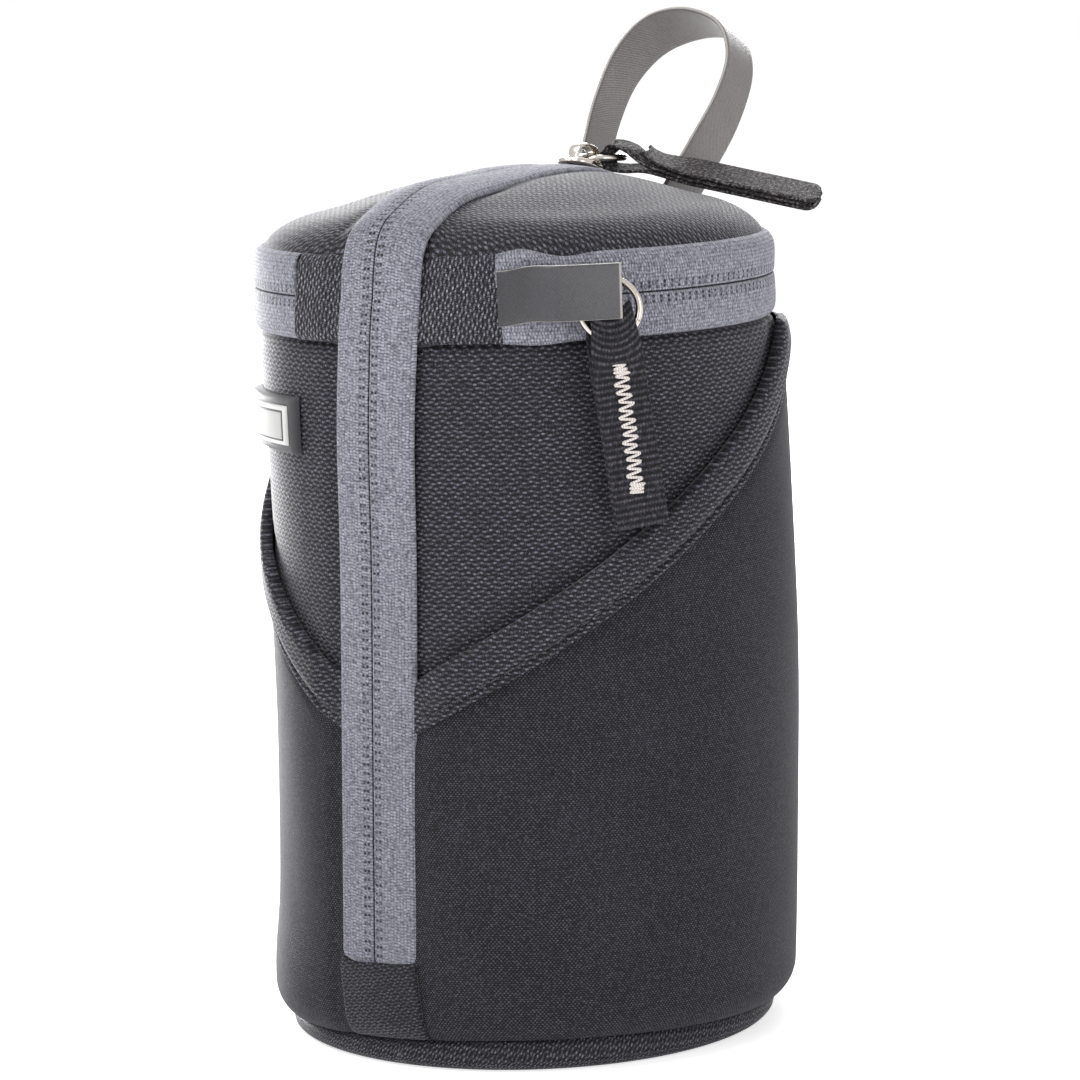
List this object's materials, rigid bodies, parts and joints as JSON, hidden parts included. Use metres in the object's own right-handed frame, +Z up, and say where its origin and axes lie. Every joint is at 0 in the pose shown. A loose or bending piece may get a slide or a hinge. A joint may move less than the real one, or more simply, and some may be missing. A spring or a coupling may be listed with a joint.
{
  "type": "lens pouch",
  "caption": "Padded round lens pouch with a domed lid on a zip round its band, a side zip up the front and over the lid, a stretch pocket with a bound edge, webbing pulls and a strap loop.",
  "frame": {"origin": "middle of the base's underside, on the surface that the pouch stands on", "axes": "+Z up along the pouch's axis; -Y to the front, where the side zip and the lid hinge are; +X to the right seen from the front"},
  "size_m": [0.1072, 0.1311, 0.1995],
  "materials": {
    "black_weave": "coarse dark woven nylon",
    "stretch_fabric": "fine dark stretch fabric with a faint ripstop grid",
    "zip_tape": "grey woven zip tape",
    "zip_coil": "dark plastic coil",
    "foam": "dark closed-cell foam",
    "lining": "smooth grey lining cloth",
    "grey_strap": "smooth grey coated strap",
    "webbing": "ribbed black webbing with off-white stitching",
    "nickel": "polished warm nickel",
    "badge_rubber": "moulded dark grey rubber",
    "badge_plate": "bare pale rubber plate"
  },
  "bodies": {
    "pouch": {"base_panel": "black_weave", "base_foam": "foam", "base_lining": "lining", "wall_panel": "black_weave", "wall_foam": "foam", "wall_lining": "lining", "pocket_panel": "stretch_fabric", "pocket_binding_right": "black_weave", "pocket_binding_left": "black_weave", "side_zip_tape_right": "zip_tape", "side_zip_tape_left": "zip_tape", "side_zip_coil_right": "zip_coil", "side_zip_coil_left": "zip_coil", "side_zip_end_patch": "black_weave", "lid_zip_tape_lower": "zip_tape", "lid_zip_coil_lower": "zip_coil", "hinge_band_lower_right": "black_weave", "hinge_band_lower_left": "black_weave", "badge_backing": "badge_rubber", "badge_plate": "badge_plate"},
    "lid": {"lid_panel_right": "black_weave", "lid_panel_left": "black_weave", "lid_foam_right": "foam", "lid_foam_left": "foam", "lid_lining_right": "lining", "lid_lining_left": "lining", "lid_zip_tape_upper": "zip_tape", "lid_zip_coil_upper": "zip_coil", "hinge_band_upper_right": "black_weave", "hinge_band_upper_left": "black_weave", "crown_zip_tape_right": "zip_tape", "crown_zip_tape_left": "zip_tape", "crown_zip_coil_right": "zip_coil", "crown_zip_coil_left": "zip_coil"},
    "loop": {"carry_loop": "grey_strap"},
    "garage": {"zip_garage": "grey_strap"},
    "lid_slider": {"lid_zip_slider": "nickel"},
    "lid_ring": {"lid_pull_ring": "nickel"},
    "lid_tab": {"lid_pull_tab": "webbing"},
    "crown_slider": {"side_zip_slider": "nickel"},
    "crown_ring": {"side_pull_ring": "nickel"},
    "crown_tab": {"side_pull_tab": "webbing"}
  },
  "joints": [
    {"name": "lid_hinge", "type": "hinge", "parent": "pouch", "child": "lid", "pos_m": [0, -0.0527, 0.1495], "axis": [1, 0, 0], "range_deg": [0, 110]},
    {"name": "lid_zip_travel", "type": "hinge", "parent": "pouch", "child": "lid_slider", "pos_m": [0, 0, 0.1495], "axis": [0, 0, 1], "range_deg": [0, 274]},
    {"name": "lid_ring_swing", "type": "hinge", "parent": "lid_slider", "child": "lid_ring", "pos_m": [0.04039, -0.03659, 0.1495], "axis": [-0.2838, -0.3132, -0.9063], "range_deg": [0, 8]},
    {"name": "lid_tab_swing", "type": "hinge", "parent": "lid_ring", "child": "lid_tab", "pos_m": [0.04539, -0.03439, 0.14182], "axis": [-0.6698, -0.7392, -0.0698], "range_deg": [0, 60]},
    {"name": "garage_lift", "type": "hinge", "parent": "pouch", "child": "garage", "pos_m": [0.02558, -0.04522, 0.1495], "axis": [0, 0, -1], "range_deg": [0, 34]},
    {"name": "side_zip_travel", "type": "hinge", "parent": "lid", "child": "crown_slider", "pos_m": [0, 0, 0.07104], "axis": [1, 0, 0], "range_deg": [0, 22]},
    {"name": "side_ring_swing", "type": "hinge", "parent": "crown_slider", "child": "crown_ring", "pos_m": [0, 0.02777, 0.17132], "axis": [1, 0, 0], "range_deg": [0, 120]},
    {"name": "side_tab_swing", "type": "hinge", "parent": "crown_ring", "child": "crown_tab", "pos_m": [0.00516, 0.03518, 0.17113], "axis": [0.3223, -0.9428, -0.0849], "range_deg": [0, 45]},
    {"name": "loop_fold", "type": "hinge", "parent": "lid", "child": "loop", "pos_m": [0, 0.0485, 0.1583], "axis": [-1, 0, 0], "range_deg": [0, 35], "stiffness_Nm_per_rad": 0.02}
  ]
}
